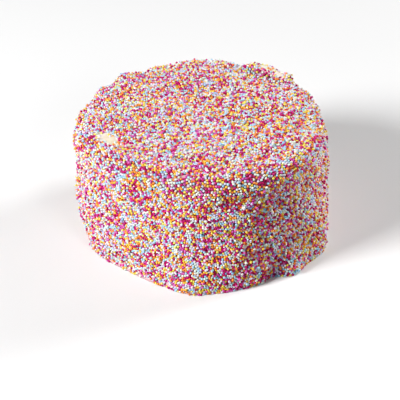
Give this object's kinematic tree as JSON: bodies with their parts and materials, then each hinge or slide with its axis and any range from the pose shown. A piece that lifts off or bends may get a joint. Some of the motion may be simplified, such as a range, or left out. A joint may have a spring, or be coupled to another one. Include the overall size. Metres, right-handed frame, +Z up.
{
  "type": "rainbow cake",
  "caption": "Tall round iced celebration cake coated top and side in tiny round sugar pearls of mixed rainbow colours, uncut, standing on its flat underside.",
  "frame": {"origin": "middle of the cake's outline, on the plane of its flat underside", "axes": "+Z up out of the top, along the cake's height; +Y towards the back of the cake as pictured, +X to the right"},
  "size_m": [0.1816, 0.182, 0.0916],
  "materials": {
    "sugar_pearl_coat": "coat of small sugar pearls in mixed colours, each with a faint sugar shine",
    "buttercream": "soft satin, spread with a palette knife",
    "white_pearls": "satin sugar",
    "raspberry_pearls": "satin sugar",
    "pink_pearls": "satin sugar",
    "orange_pearls": "satin sugar",
    "yellow_pearls": "satin sugar",
    "blue_pearls": "satin sugar"
  },
  "bodies": {
    "root": {"cake": "sugar_pearl_coat"}
  },
  "joints": []
}
